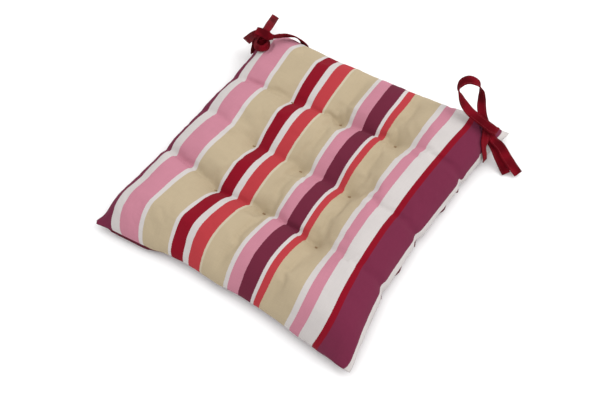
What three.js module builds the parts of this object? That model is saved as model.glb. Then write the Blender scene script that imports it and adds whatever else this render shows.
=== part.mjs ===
// Square tufted chair pad of striped cotton, lying on its back, with two flat tie straps
// at each rear corner. Millimetres, +Z up, rear edge towards +Y, stripes along Y.
// The origin is the middle of the flat underside.
import * as THREE from 'three';
import { mergeGeometries, mergeVertices } from 'three/addons/utils/BufferGeometryUtils.js';
import { ParametricGeometry } from 'three/addons/geometries/ParametricGeometry.js';

// ---- driving dimensions ----
const PAD_WIDTH = 400;        // ear tip to ear tip, across the stripes
const PAD_DEPTH = 396;        // ear tip to ear tip, along the stripes
const SIDE_DRAW_IN = 19.5;    // how far the filled sides pull in at their middles
const END_DRAW_IN = 11;       // the same for the front and rear edges
const SEAM_HEIGHT = 12;       // edge seam above the table
const CROWN_HEIGHT = 43;      // tops of the middle puffs above the table
const CROWN_DROP = 4;         // how much lower the outer puffs are
const EDGE_RADIUS = 36;       // from the seam in to the full height
const EAR_REACH = 27;         // the corners stay thin this far in
const UNDERSIDE_ROLL = 24;    // from the seam in to the flat underside
const EAR_ROLL = 60;
const NICK = 3;               // seam pulled in where a channel meets it
const NICK_SPREAD = 9;
const TUFT_COLUMNS = [-79, 0, 82];
// Rows of tufts: each channel runs from the left seam through three tufts to the right seam.
const TUFT_ROWS = [
  // left end y, tufts y, right end y
  { left: 90, middle: 91, right: 90 },
  { left: 13, middle: -2, right: -9 },
  { left: -64, middle: -85, right: -92 },
];
const CHANNEL = { left: 8.5, middle: 7.5, right: 4.5, spread: 13 };
const COLUMN_CHANNEL = { depth: 4, spread: 12 };
const TUFT = { depth: 12, spread: 11 };
const GRID = 42;              // panel divisions each way
const STRAP_THICK = 1.6;
const STRAP_STEP = 3;         // longest section of a strap

// ---- straps: centre line and direction across the strap at each bend ----
// Strap from the right-hand side seam: rises to the knot, makes the standing loop, crosses the
// front of the knot as its band, goes round behind it and ends free beside the pad.
const RIGHT_SIDE_STRAP = [
  // at, centre x, y, z, across x, y, z, wide
  ['seam', 193.9, 144.0, 12.0, 0.15, 0.99, 0.00, 13],
  ['lip', 196.0, 144.4, 12.6, 0.15, 0.99, 0.05, 13],
  ['out', 196.9, 144.2, 20.2, 0.05, 0.97, 0.25, 13],
  ['rise', 189.3, 147.3, 28.5, 0.02, 0.85, -0.53, 12],
  ['up', 186.1, 152.8, 38.1, 0.61, 0.73, -0.29, 11],
  ['under', 182.8, 161.1, 45.7, 0.82, 0.53, -0.24, 9.5],
  ['under2', 178.0, 168.9, 50.7, 0.90, 0.36, -0.24, 10],
  ['rs0', 170.4, 174.8, 55.7, 0.91, 0.40, -0.10, 11.5],
  ['rs1', 163.4, 183.7, 60.9, 0.90, 0.41, 0.16, 11.8],
  ['rs2', 158.1, 193.6, 64.8, 0.86, -0.03, 0.51, 12.3],
  ['rx', 152.7, 201.7, 69.4, 0.68, -0.54, 0.50, 13],
  ['ra', 145.9, 205.4, 76.2, 0.29, -0.94, 0.16, 13],
  ['top', 135.2, 201.1, 81.1, 0.49, -0.85, -0.21, 13],
  ['la', 128.6, 195.0, 78.7, 0.79, -0.60, 0.09, 13],
  ['lx', 127.7, 187.7, 73.2, 0.55, -0.61, 0.57, 13],
  ['ls2', 134.4, 181.1, 69.9, 0.07, -0.83, 0.56, 13],
  ['ls1', 143.8, 173.0, 67.0, -0.17, -0.97, 0.18, 13],
  ['ls0', 155.2, 166.7, 64.6, -0.18, -0.98, -0.08, 13],
  ['band0', 167.2, 164.4, 61.6, -0.14, -0.93, -0.34, 12],
  ['band1', 178.7, 163.2, 58.1, -0.15, -0.91, -0.38, 12],
  ['band2', 187.7, 163.2, 54.2, -0.20, -0.89, -0.41, 12],
  ['turn1', 194.3, 166.7, 48.0, -0.18, -0.89, -0.42, 10.3],
  ['turn2', 191.5, 175.5, 38.8, 0.05, -0.88, -0.47, 9],
  ['back1', 185.2, 174.8, 38.1, 0.23, -0.79, -0.56, 9],
  ['back2', 181.8, 169.4, 37.2, -0.44, -0.83, -0.33, 9],
  ['exit', 186.6, 163.8, 33.7, -0.75, -0.63, -0.21, 9.5],
  ['tail1', 197.2, 160.7, 23.8, -0.63, -0.73, -0.26, 12],
  ['tail2', 208.7, 154.4, 14.7, -0.66, -0.66, -0.36, 13],
  ['tail3', 218.4, 148.2, 7.3, -0.64, -0.67, -0.38, 12],
  ['end', 224.6, 143.8, 3.8, -0.58, -0.73, -0.36, 11],
];

// Strap from the rear seam at the same corner: over the edge, through the knot, free end.
const RIGHT_REAR_STRAP = [
  // at, centre x, y, z, across x, y, z, wide
  ['seam', 150.0, 194.4, 12.0, 1.00, 0.08, 0.00, 13],
  ['lip', 150.2, 196.8, 12.6, 1.00, 0.08, 0.03, 13],
  ['out', 152.0, 196.9, 19.3, 0.97, 0.10, 0.22, 13],
  ['rise', 160.0, 194.3, 32.6, 0.72, 0.31, 0.62, 12],
  ['in1', 168.7, 177.7, 48.0, 0.50, 0.76, -0.42, 10],
  ['in2', 178.3, 173.4, 45.1, 0.49, 0.85, 0.19, 9],
  ['mid', 184.8, 166.7, 41.5, 0.54, 0.83, 0.16, 8.2],
  ['exit', 193.3, 162.5, 35.4, 0.50, 0.85, 0.19, 10.4],
  ['tail1', 205.0, 163.2, 25.4, 0.41, 0.90, 0.14, 13],
  ['tail2', 216.8, 156.3, 20.6, 0.43, 0.89, 0.12, 13.5],
  ['tail3', 227.4, 154.0, 11.1, 0.44, 0.90, 0.00, 13.5],
  ['end', 238.7, 150.0, 5.4, 0.16, 0.97, 0.17, 12.5],
];

// Strap from the left-hand side seam: up to the knot, a small round loop lying towards the
// front, then behind the knot and out to the rear as its free end.
const LEFT_SIDE_STRAP = [
  // at, centre x, y, z, across x, y, z, wide
  ['seam', -196.3, 156.0, 12.0, -0.18, 0.98, 0.00, 13],
  ['lip', -198.6, 156.7, 12.8, -0.14, 0.99, 0.05, 13],
  ['out', -197.9, 157.0, 18.6, 0.00, 0.99, 0.15, 12.5],
  ['rise', -193.8, 157.6, 26.1, 0.26, 0.97, 0.00, 11.5],
  ['in', -191.2, 161.2, 30.0, 0.50, 0.80, -0.33, 10],
  ['knot', -186.7, 166.7, 33.7, 0.69, -0.06, -0.72, 9],
  ['lr0', -175.5, 165.9, 42.9, 0.40, -0.11, -0.91, 10],
  ['lr1', -165.1, 158.7, 46.2, 0.29, -0.06, -0.96, 12],
  ['lr2', -160.0, 148.2, 47.9, 0.27, -0.21, -0.94, 13.2],
  ['lb', -163.9, 140.9, 49.0, 0.19, -0.44, -0.88, 13.5],
  ['ll2', -173.4, 141.0, 46.4, -0.07, -0.44, -0.89, 13.2],
  ['ll1', -180.7, 147.8, 43.6, -0.35, -0.45, -0.82, 12],
  ['ll0', -185.0, 156.6, 43.3, -0.61, -0.57, -0.55, 9.5],
  ['under', -186.3, 163.1, 44.1, -0.99, -0.11, 0.03, 9],
  ['mid', -185.3, 169.8, 43.7, -0.86, 0.28, 0.42, 9.5],
  ['back', -184.0, 177.9, 42.3, -0.92, 0.05, 0.39, 11.5],
  ['t1', -189.4, 192.6, 36.7, -0.92, -0.05, 0.40, 12.5],
  ['t2', -199.4, 212.5, 25.3, -0.92, -0.05, 0.40, 12.3],
  ['end', -208.2, 230.3, 15.3, -0.92, -0.05, 0.40, 12],
];

// Strap from the rear seam near the left corner: arches over the edge, crosses the front of
// the knot and ends free beyond the left-hand side.
const LEFT_REAR_STRAP = [
  // at, centre x, y, z, across x, y, z, wide
  ['seam', -127.4, 192.5, 12.0, 1.00, -0.07, 0.00, 13],
  ['lip', -127.6, 194.9, 12.8, 1.00, -0.06, 0.05, 13],
  ['out', -129.1, 196.6, 18.7, 0.97, 0.05, 0.25, 13],
  ['arch0', -131.8, 194.0, 30.0, 0.81, -0.30, 0.50, 13],
  ['arch1', -139.3, 189.8, 38.3, 0.39, -0.52, 0.76, 13],
  ['arch2', -149.1, 181.4, 43.9, 0.36, -0.38, 0.85, 13],
  ['arch3', -154.7, 170.2, 50.2, 0.36, -0.37, 0.86, 13],
  ['k0', -159.0, 160.6, 56.2, 0.31, -0.19, 0.93, 10.5],
  ['k1', -166.8, 157.5, 61.3, -0.10, 0.65, 0.75, 9.5],
  ['k2', -175.4, 154.9, 61.0, -0.29, 0.72, 0.62, 9.5],
  ['t1', -181.6, 150.8, 58.6, -0.73, 0.41, 0.55, 10.5],
  ['t2', -195.8, 154.5, 41.8, -0.84, 0.21, 0.50, 12.5],
  ['end', -214.7, 162.9, 18.5, -0.91, 0.01, 0.42, 13.2],
];

const bump = (d, spread) => Math.exp(-(d / spread) * (d / spread));
const smooth = (t) => t * t * (3 - 2 * t);
const clamp01 = (t) => Math.min(1, Math.max(0, t));

// y of a row of tufts at a given x: level between the outer tufts, slanting out to the nicks
function rowY(row, x) {
  const first = TUFT_COLUMNS[0], last = TUFT_COLUMNS[2], edge = PAD_WIDTH / 2 - SIDE_DRAW_IN;
  if (x < first) return THREE.MathUtils.lerp(row.middle, row.left, clamp01((first - x) / (edge + first)));
  if (x > last) return THREE.MathUtils.lerp(row.middle, row.right, clamp01((x - last) / (edge - last)));
  return row.middle;
}

// half width of the pad at y, and half depth at x, drawn in between the corners
function halfWidth(y, side) {
  const t = Math.min(1, Math.abs(y) / (PAD_DEPTH / 2));
  let w = PAD_WIDTH / 2 - SIDE_DRAW_IN * (1 - Math.pow(t, 1.9));
  for (const row of TUFT_ROWS) w -= NICK * bump(y - (side < 0 ? row.left : row.right), NICK_SPREAD);
  return w;
}
function halfDepth(x) {
  const t = Math.min(1, Math.abs(x) / (PAD_WIDTH / 2));
  return PAD_DEPTH / 2 - END_DRAW_IN * (1 - Math.pow(t, 2.2));
}

// plan position and distances to the seam for panel coordinates u, v from 0 to 1
function plan(u, v) {
  const ease = (t) => { const s = 2 * t - 1; return 0.45 * s + 0.55 * Math.sin(s * Math.PI / 2); };
  const s = ease(u), t = ease(v);
  const hw = halfWidth(t * PAD_DEPTH / 2, s), x = s * hw;
  const hd = halfDepth(s * PAD_WIDTH / 2), y = t * hd;
  return { x, y, s, t, toSide: hw - Math.abs(x), toEnd: hd - Math.abs(y) };
}

const rise = (d, radius) => { const k = 1 - Math.min(1, d / radius); return Math.sqrt(Math.max(0, 1 - k * k)); };

function topPoint(u, v, target) {
  const p = plan(u, v);
  const ear = 1 - Math.exp(-Math.pow((p.toSide + p.toEnd) / EAR_REACH, 2));
  const lift = rise(p.toSide, EDGE_RADIUS) * rise(p.toEnd, EDGE_RADIUS) * ear;
  const crown = CROWN_HEIGHT - CROWN_DROP * Math.max(p.s * p.s, p.t * p.t);
  const deep = p.x < 0 ? THREE.MathUtils.lerp(CHANNEL.middle, CHANNEL.left, -p.s) : THREE.MathUtils.lerp(CHANNEL.middle, CHANNEL.right, p.s);
  let sink = 0;
  for (const row of TUFT_ROWS) sink = Math.max(sink, deep * bump(p.y - rowY(row, p.x), CHANNEL.spread));
  for (const cx of TUFT_COLUMNS) sink = Math.max(sink, COLUMN_CHANNEL.depth * bump(p.x - cx, COLUMN_CHANNEL.spread));
  for (const row of TUFT_ROWS) for (const cx of TUFT_COLUMNS) sink += TUFT.depth * bump(Math.hypot(p.x - cx, p.y - row.middle), TUFT.spread);
  target.set(p.x, p.y, SEAM_HEIGHT + (crown - SEAM_HEIGHT - sink) * lift);
}

function undersidePoint(u, v, target) {
  const p = plan(u, v);
  const a = clamp01(1 - p.toSide / UNDERSIDE_ROLL), b = clamp01(1 - p.toEnd / UNDERSIDE_ROLL), c = clamp01(1 - (p.toSide + p.toEnd) / EAR_ROLL);
  target.set(p.x, p.y, SEAM_HEIGHT * (1 - (1 - a * a) * (1 - b * b) * (1 - c * c)));
}

// One closed body from the two panels, joined along the seam.
function cushionGeometry() {
  const top = new ParametricGeometry(topPoint, GRID, GRID);
  const underside = new ParametricGeometry((u, v, target) => undersidePoint(1 - u, v, target), GRID, GRID);
  const parts = [top, underside];
  for (const g of parts) { g.deleteAttribute('normal'); g.deleteAttribute('uv'); }
  return outward(mergeVertices(mergeGeometries(parts), 1e-3));
}

// Turns every face outwards if the body came out inside out.
function outward(geometry) {
  const pos = geometry.attributes.position, index = geometry.index.array;
  const a = new THREE.Vector3(), b = new THREE.Vector3(), c = new THREE.Vector3();
  let volume = 0;
  for (let i = 0; i < index.length; i += 3) {
    a.fromBufferAttribute(pos, index[i]); b.fromBufferAttribute(pos, index[i + 1]); c.fromBufferAttribute(pos, index[i + 2]);
    volume += a.dot(b.cross(c));
  }
  if (volume < 0) for (let i = 0; i < index.length; i += 3) { const k = index[i + 1]; index[i + 1] = index[i + 2]; index[i + 2] = k; }
  geometry.computeVertexNormals();
  return geometry;
}

// A flat strap: a rectangle of cloth swept along the curve through its rows, turned to its
// direction across at each of them.
function strapGeometry(rows) {
  const centres = rows.map((r) => new THREE.Vector3(r[1], r[2], r[3]));
  const acrosses = rows.map((r) => new THREE.Vector3(r[4], r[5], r[6]));
  const line = new THREE.CatmullRomCurve3(centres, false, 'centripetal');
  const turn = new THREE.CatmullRomCurve3(acrosses, false, 'catmullrom', 0.5);
  const stops = [];
  for (let i = 0; i + 1 < rows.length; i++) {
    const steps = Math.max(1, Math.ceil(centres[i].distanceTo(centres[i + 1]) / STRAP_STEP));
    for (let j = 0; j < steps; j++) stops.push([i, j / steps]);
  }
  stops.push([rows.length - 2, 1]);
  const position = [], index = [];
  for (const [i, f] of stops) {
    const t = (i + f) / (rows.length - 1);
    const centre = line.getPoint(t);
    const along = line.getPoint(Math.min(1, t + 1e-4)).sub(line.getPoint(Math.max(0, t - 1e-4))).normalize();
    const across = turn.getPoint(t);
    across.addScaledVector(along, -across.dot(along)).normalize();
    const normal = along.clone().cross(across);
    const half = THREE.MathUtils.lerp(rows[i][7], rows[i + 1][7], smooth(f)) / 2;
    for (const [a, n] of [[1, 1], [-1, 1], [-1, -1], [1, -1]]) {
      const p = centre.clone().addScaledVector(across, a * half).addScaledVector(normal, n * STRAP_THICK / 2);
      position.push(p.x, p.y, p.z);
    }
  }
  const last = 4 * (stops.length - 1);
  for (let s = 0; s < last; s += 4) for (let k = 0; k < 4; k++) {
    const a = s + k, b = s + (k + 1) % 4;
    index.push(a, b, b + 4, a, b + 4, a + 4);
  }
  index.push(0, 2, 1, 0, 3, 2, last, last + 1, last + 2, last, last + 2, last + 3);
  const geometry = new THREE.BufferGeometry();
  geometry.setAttribute('position', new THREE.Float32BufferAttribute(position, 3));
  geometry.setIndex(index);
  return outward(geometry);
}

const stripedCotton = new THREE.MeshStandardMaterial({ color: 0xc3ae91, roughness: 0.93, metalness: 0 });
const redTape = new THREE.MeshStandardMaterial({ color: 0x73121b, roughness: 0.9, metalness: 0 });

function piece(name, geometry, material) {
  const mesh = new THREE.Mesh(geometry, material);
  mesh.name = name;
  return mesh;
}

const chairPad = new THREE.Group();
chairPad.add(piece('cushion', cushionGeometry(), stripedCotton));
const ties = new THREE.Group();
ties.add(piece('tie_right_side', strapGeometry(RIGHT_SIDE_STRAP), redTape));
ties.add(piece('tie_right_rear', strapGeometry(RIGHT_REAR_STRAP), redTape));
ties.add(piece('tie_left_side', strapGeometry(LEFT_SIDE_STRAP), redTape));
ties.add(piece('tie_left_rear', strapGeometry(LEFT_REAR_STRAP), redTape));
chairPad.add(ties);

export default chairPad;
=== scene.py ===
# Square tufted chair pad of striped cotton, with flat cotton ties knotted at the rear corners.
# Row frame: metres, +Z up, rear edge towards +Y, stripes along Y. Lengths below are in mm.
import math
import bpy
import numpy as np
from mathutils import Matrix, Vector


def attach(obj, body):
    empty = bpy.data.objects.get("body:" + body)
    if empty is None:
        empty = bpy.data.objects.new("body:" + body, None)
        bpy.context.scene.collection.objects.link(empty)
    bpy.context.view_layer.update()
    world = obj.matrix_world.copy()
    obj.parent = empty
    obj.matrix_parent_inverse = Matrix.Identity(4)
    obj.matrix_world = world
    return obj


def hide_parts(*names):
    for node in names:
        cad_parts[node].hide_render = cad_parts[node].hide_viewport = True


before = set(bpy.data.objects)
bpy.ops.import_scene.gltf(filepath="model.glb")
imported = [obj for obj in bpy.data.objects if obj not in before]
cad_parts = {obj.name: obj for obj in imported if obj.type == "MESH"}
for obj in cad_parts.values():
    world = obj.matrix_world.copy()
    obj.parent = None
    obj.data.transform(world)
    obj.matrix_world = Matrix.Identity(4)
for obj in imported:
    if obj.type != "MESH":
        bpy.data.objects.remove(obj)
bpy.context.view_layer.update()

MM = 0.001
scene = bpy.context.scene

# ---------------------------------------------------------------- camera
F_PX = 778.353
CAM_AT = (0.409860, -0.454175, 0.853586)
CAM_RIGHT = (0.820902, 0.562076, -0.100951)
CAM_DOWN = (0.422303, -0.716490, -0.555250)
CAM_FORWARD = (-0.384422, 0.413174, -0.825534)

cam_data = bpy.data.cameras.new("camera")
cam = bpy.data.objects.new("camera", cam_data)
scene.collection.objects.link(cam)
cam_data.sensor_fit = "HORIZONTAL"
cam_data.sensor_width = 36.0
cam_data.lens = F_PX * 36.0 / 600.0
cam_data.clip_start, cam_data.clip_end = 0.01, 50.0
cam.matrix_world = Matrix((
    (CAM_RIGHT[0], -CAM_DOWN[0], -CAM_FORWARD[0], CAM_AT[0]),
    (CAM_RIGHT[1], -CAM_DOWN[1], -CAM_FORWARD[1], CAM_AT[1]),
    (CAM_RIGHT[2], -CAM_DOWN[2], -CAM_FORWARD[2], CAM_AT[2]),
    (0, 0, 0, 1),
))
scene.camera = cam


# ---------------------------------------------------------------- node helpers
def material(name):
    m = bpy.data.materials.new(name)
    m.use_nodes = True
    nt = m.node_tree
    for n in list(nt.nodes):
        nt.nodes.remove(n)
    out = nt.nodes.new("ShaderNodeOutputMaterial")
    bsdf = nt.nodes.new("ShaderNodeBsdfPrincipled")
    nt.links.new(bsdf.outputs["BSDF"], out.inputs["Surface"])
    return m, nt, bsdf


def node(nt, kind, **given):
    n = nt.nodes.new(kind)
    for key, value in given.items():
        setattr(n, key, value)
    return n


def put(nt, value, socket):
    if hasattr(value, "is_output"):
        nt.links.new(value, socket)
    else:
        socket.default_value = value


def math_node(nt, op, a, b=None, c=None, clamp=False):
    n = node(nt, "ShaderNodeMath", operation=op, use_clamp=clamp)
    for i, x in enumerate((a, b, c)):
        if x is not None:
            put(nt, x, n.inputs[i])
    return n.outputs[0]


def mix_colour(nt, factor, a, b, blend="MIX"):
    n = node(nt, "ShaderNodeMix", data_type="RGBA", blend_type=blend)
    put(nt, factor, n.inputs[0])
    put(nt, a, n.inputs[6])
    put(nt, b, n.inputs[7])
    return n.outputs[2]


def noise(nt, vector, scale, detail=2.0, rough=0.5, kind="3D"):
    n = node(nt, "ShaderNodeTexNoise", noise_dimensions=kind)
    put(nt, vector, n.inputs["Vector"])
    n.inputs["Scale"].default_value = scale
    n.inputs["Detail"].default_value = detail
    n.inputs["Roughness"].default_value = rough
    return n.outputs["Fac"]


def map_range(nt, value, a, b, c, d):
    n = node(nt, "ShaderNodeMapRange")
    put(nt, value, n.inputs[0])
    for i, x in enumerate((a, b, c, d)):
        n.inputs[1 + i].default_value = x
    return n.outputs[0]


def linear(rgb):
    out = []
    for x in rgb:
        x = x / 255.0
        out.append(x / 12.92 if x <= 0.04045 else ((x + 0.055) / 1.055) ** 2.4)
    return out


# ---------------------------------------------------------------- mesh helpers
def new_object(name, verts_mm, faces, smooth=True):
    me = bpy.data.meshes.new(name)
    me.from_pydata((np.asarray(verts_mm, dtype=float) * MM).tolist(), [], [tuple(int(i) for i in f) for f in faces])
    me.update()
    ob = bpy.data.objects.new(name, me)
    scene.collection.objects.link(ob)
    if smooth:
        me.polygons.foreach_set("use_smooth", np.ones(len(me.polygons), dtype=bool))
    return ob


# ---------------------------------------------------------------- the pad's shape
PAD_WIDTH, PAD_DEPTH = 400.0, 396.0
SIDE_DRAW_IN, END_DRAW_IN = 19.5, 11.0
SEAM_HEIGHT = 12.0
EAR_REACH, UNDERSIDE_ROLL, EAR_ROLL = 27.0, 24.0, 60.0
NICK_LEFT, NICK_RIGHT, NICK_SPREAD = 1.0, 3.4, 6.5
# how the sewn edge wanders in and out along each side, in mm outward: place along the side, amount
EDGE_LEFT = ((-198, 0), (-180, -3), (-150, -1.5), (-120, 0), (-90, 0), (-62, 3), (-30, 1), (0, 2), (15, 4.5), (30, 2.5), (60, -1), (90, -0.5), (120, -2.5), (135, -3.5), (150, -3), (165, -1), (182, 0), (198, 2))
EDGE_RIGHT = ((-198, 1), (-165, -0.5), (-135, -1.5), (-105, -2.5), (-75, -3), (-45, -1.2), (-15, 0), (15, 1.5), (60, 2), (90, 2), (125, 0.5), (140, -0.5), (160, 0), (198, 2.5))
EDGE_FRONT = ((-200, 6), (-180, 4), (-150, 4.5), (-120, 4.5), (-100, 3), (-85, 0.5), (-60, -1), (-30, 0), (0, 1.5), (30, 0), (60, 0), (90, 1), (120, 2.3), (150, 2.8), (200, 2))
EDGE_REAR = ((-200, 2), (-150, 3), (-120, 4), (-90, 4.5), (-60, 3), (-30, 4.8), (0, 5.2), (30, 2.7), (60, 1.8), (78, 3.5), (105, -0.7), (120, -2), (150, 0), (200, 3))
CORNER_ROUND = 4.5, 1.5  # the ear at the left of the front, the other three
# where the plain underside swells out past the seam: at the left of the front edge, and at places on the right
SWELL = 7.5
SWELL_RIGHT = ((84, 5), (50, 9), (-14, 6), (-56, 11), (-98, 4))
ROLL = (45, 48, 48, 48)  # how far in each edge is rolled: left, right, front, rear
ROLL_POWER = (3.0, 2.8, 1.7, 3.0)
# heights of the four by four puffs, front row first, and where their middles are
PUFF_X, PUFF_Y = (-135.0, -40.0, 41.0, 135.0), (-140.0, -45.0, 45.0, 140.0)
PUFF_CROWN = (
    (43.0, 43.0, 46.5, 50.0),
    (50.0, 38.0, 38.0, 50.0),
    (47.5, 43.5, 42.0, 46.5),
    (38.5, 40.0, 43.0, 49.0),
)
# the rows of tufts from the rear to the front: y at the left edge, at the three tufts and at the right edge
CHANNELS = (
    (85.5, 89.5, 96.0, 97.5, 92.0),
    (14.0, 2.5, 2.5, 0.5, -10.0),
    (-65.5, -82.0, -75.5, -85.5, -93.5),
)
TUFT_X = (
    (-77.0, -1.5, 85.0),
    (-81.0, -4.5, 73.5),
    (-83.0, -9.5, 79.5),
)
CHANNEL_DEPTH = (
    (7.0, 8.0, 15.5, 1.5),
    (5.5, 10.5, 12.0, 3.5),
    (12.0, 13.5, 14.5, 1.0),
)  # at the four puffs across
CHANNEL_SPREAD = (18.0, 16.0, 11.5)
COLUMN_X = (-80.5, -5.0, 79.5)
COLUMN_DEPTH, COLUMN_SPREAD = (2.5, 6.0, 6.0), 16.0
TUFT_DEPTH = (
    (8.0, 14.0, 14.0),
    (13.0, 11.0, 14.0),
    (11.0, 12.5, 14.0),
)
TUFT_SPREAD = 16.0
# how far the cloth is off its straight line across, as it was sewn
OFF_X, OFF_Y = (-200.0, -100.0, 0.0, 100.0, 200.0), (-198.0, -140.0, -45.0, 45.0, 140.0, 198.0)
CLOTH_OFF = (
    (-2.5, -1.5, 0.0, 3.5, 5.0),
    (-1.0, 1.5, 2.5, 5.0, 5.5),
    (1.5, -1.0, 0.5, 3.5, 3.5),
    (0.5, -0.5, -0.0, 2.0, 2.0),
    (0.5, -0.8, 1.0, 2.0, 2.5),
    (-2.5, 1.0, 3.0, 2.0, 8.0),
)
TUFTS = tuple((TUFT_X[r][c], CHANNELS[r][c + 1]) for r in range(3) for c in range(3))


def bump(d, spread):
    return np.exp(-((d / spread) ** 2))


def cusp(d, spread, soft=2.0):
    """1 at d = 0 with a nearly sharp crease, falling off on both sides like a puff's shoulder."""
    return np.exp(-(np.sqrt(d * d + soft * soft) - soft) / spread)


def row_y(row, x):
    edge = PAD_WIDTH / 2 - SIDE_DRAW_IN
    return np.interp(x, (-edge, -79.0, 0.0, 82.0, edge), row)


def smooth_table(xs, ys, values, x, y):
    """Looks a table up with soft steps between its points; the first index of values runs along y."""
    values = np.array(values)
    i = np.clip(np.searchsorted(xs, x) - 1, 0, len(xs) - 2)
    j = np.clip(np.searchsorted(ys, y) - 1, 0, len(ys) - 2)
    xs, ys = np.array(xs), np.array(ys)
    f = np.clip((x - xs[i]) / (xs[i + 1] - xs[i]), 0, 1)
    g = np.clip((y - ys[j]) / (ys[j + 1] - ys[j]), 0, 1)
    f, g = f * f * (3 - 2 * f), g * g * (3 - 2 * g)
    near = values[j, i] * (1 - f) + values[j, i + 1] * f
    far = values[j + 1, i] * (1 - f) + values[j + 1, i + 1] * f
    return near * (1 - g) + far * g


def wander(table, at):
    return np.interp(at, [p[0] for p in table], [p[1] for p in table])


def plain_width(y):
    t = np.minimum(1, np.abs(y) / (PAD_DEPTH / 2))
    return PAD_WIDTH / 2 - SIDE_DRAW_IN * (1 - t ** 1.9)


def half_width(y, side):
    w = plain_width(y) + np.where(side < 0, wander(EDGE_LEFT, y), wander(EDGE_RIGHT, y))
    for row in CHANNELS:
        w = w - np.where(side < 0, NICK_LEFT * bump(y - row[0], NICK_SPREAD), NICK_RIGHT * bump(y - row[4], NICK_SPREAD))
    return w


def half_depth(x, side):
    t = np.minimum(1, np.abs(x) / (PAD_WIDTH / 2))
    return PAD_DEPTH / 2 - END_DRAW_IN * (1 - t ** 2.2) + np.where(side < 0, wander(EDGE_FRONT, x), wander(EDGE_REAR, x))


def ease(t):
    s = 2 * t - 1
    return 0.45 * s + 0.55 * np.sin(s * math.pi / 2)


def plan(u, v):
    s, t = ease(u), ease(v)
    hw = half_width(t * PAD_DEPTH / 2, s)
    x = s * hw
    hd = half_depth(s * PAD_WIDTH / 2, t)
    y = t * hd
    corner = np.clip(np.abs(s) * 25 - 24, 0, 1) ** 2 * np.clip(np.abs(t) * 25 - 24, 0, 1) ** 2
    corner = corner * np.where((s < 0) & (t < 0), CORNER_ROUND[0], CORNER_ROUND[1])
    x = x - corner * np.sign(s)
    y = y - corner * np.sign(t)
    return x, y, s, t, hw - np.abs(x), hd - np.abs(y)


def rise(d, radius, power):
    k = np.clip(1 - d / radius, 0, 1)
    return np.maximum(0, 1 - k ** power) ** (1 / power)


def lift_of(x, y, to_side, to_end):
    ear = 1 - np.exp(-(((to_side + to_end) / EAR_REACH) ** 2))
    side = np.where(x < 0, rise(to_side, ROLL[0], ROLL_POWER[0]), rise(to_side, ROLL[1], ROLL_POWER[1]))
    end = np.where(y < 0, rise(to_end, ROLL[2], ROLL_POWER[2]), rise(to_end, ROLL[3], ROLL_POWER[3]))
    return side * end * ear


def sink_of(x, y):
    across = np.zeros_like(x)
    for row, deep, spread in zip(CHANNELS, CHANNEL_DEPTH, CHANNEL_SPREAD):
        depth = smooth_table(PUFF_X, (-1.0, 1.0), (deep, deep), x, 0 * x)
        across = np.maximum(across, depth * cusp(y - row_y(row, x), spread))
    along = np.zeros_like(x)
    for cx, deep in zip(COLUMN_X, COLUMN_DEPTH):
        along = np.maximum(along, deep * cusp(x - cx, COLUMN_SPREAD, 6.0))
    sink = np.sqrt(across ** 2 + along ** 2)
    for k, (tx, ty) in enumerate(TUFTS):
        sink = sink + TUFT_DEPTH[k // 3][k % 3] * cusp(np.hypot(x - tx, y - ty), TUFT_SPREAD, 1.5)
    return sink


def top_surface(u, v):
    x, y, s, t, a, b = plan(u, v)
    crown = smooth_table(PUFF_X, PUFF_Y, PUFF_CROWN, x, y)
    z = SEAM_HEIGHT + (crown - SEAM_HEIGHT - sink_of(x, y)) * lift_of(x, y, a, b)
    return np.stack([x, y, z], -1)


def underside_surface(u, v):
    x, y, s, t, to_side, to_end = plan(u, v)
    a = np.clip(1 - to_side / UNDERSIDE_ROLL, 0, 1)
    b = np.clip(1 - to_end / UNDERSIDE_ROLL, 0, 1)
    c = np.clip(1 - (to_side + to_end) / EAR_ROLL, 0, 1)
    z = SEAM_HEIGHT * (1 - (1 - a * a) * (1 - b * b) * (1 - c * c))
    where = np.clip((x + 190) / 20, 0, 1) * np.clip((-82 - x) / 30, 0, 1)
    swell = SWELL * np.sin(math.pi * np.clip(to_end / 16, 0, 1)) * where * np.clip(to_side / 10, 0, 1)
    y = np.where(y < 0, y - swell, y)
    where = sum(bump(y - at, wide) for at, wide in SWELL_RIGHT) * np.clip(to_end / 10, 0, 1)
    x = np.where(x > 0, x + 6.5 * np.sin(math.pi * np.clip(to_side / 14, 0, 1)) * where, x)
    return np.stack([x, y, z], -1)


def roll_length(d, radius, height):
    """Length of the rolled edge from the seam to a place d further in."""
    turn = np.arccos(np.clip(1 - d / radius, 0, 1))
    total = 0
    for k in range(12):
        at = turn * (k + 0.5) / 12
        total = total + np.sqrt((radius * np.sin(at)) ** 2 + (height * np.cos(at)) ** 2)
    return total * turn / 12


def cloth_coordinate(x, y):
    """How far across the cloth each point lies, counted from the middle stripe: level over the crown and
    down the rolled edge, so that a stripe keeps its width over the roll. 200 at either seam."""
    hw = plain_width(y)
    radius = np.where(x < 0, ROLL[0], ROLL[1]).astype(float)
    # where the sewn edge wanders, the cloth of the rolled edge goes with it
    edge = half_width(y, x)
    share = np.clip(1 - (edge - np.abs(x)) / radius, 0, 1) ** 2
    x = x - np.sign(x) * (edge - hw) * share
    d = np.maximum(0, hw - np.abs(x))
    b = np.maximum(0, half_depth(x, y) - np.abs(y))
    height = 32.0 * np.where(y < 0, rise(b, ROLL[2], 2.0), rise(b, ROLL[3], 2.0))
    roll = roll_length(radius, radius, height)
    s = np.where(d < radius, 200.0 - roll_length(np.minimum(d, radius), radius, height), np.abs(x) * (200.0 - roll) / (hw - radius))
    return np.sign(x) * s + smooth_table(OFF_X, OFF_Y, CLOTH_OFF, x, y)


def grid(n):
    k = np.arange(n + 1) / n
    return np.meshgrid(k, k, indexing="ij")


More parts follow.
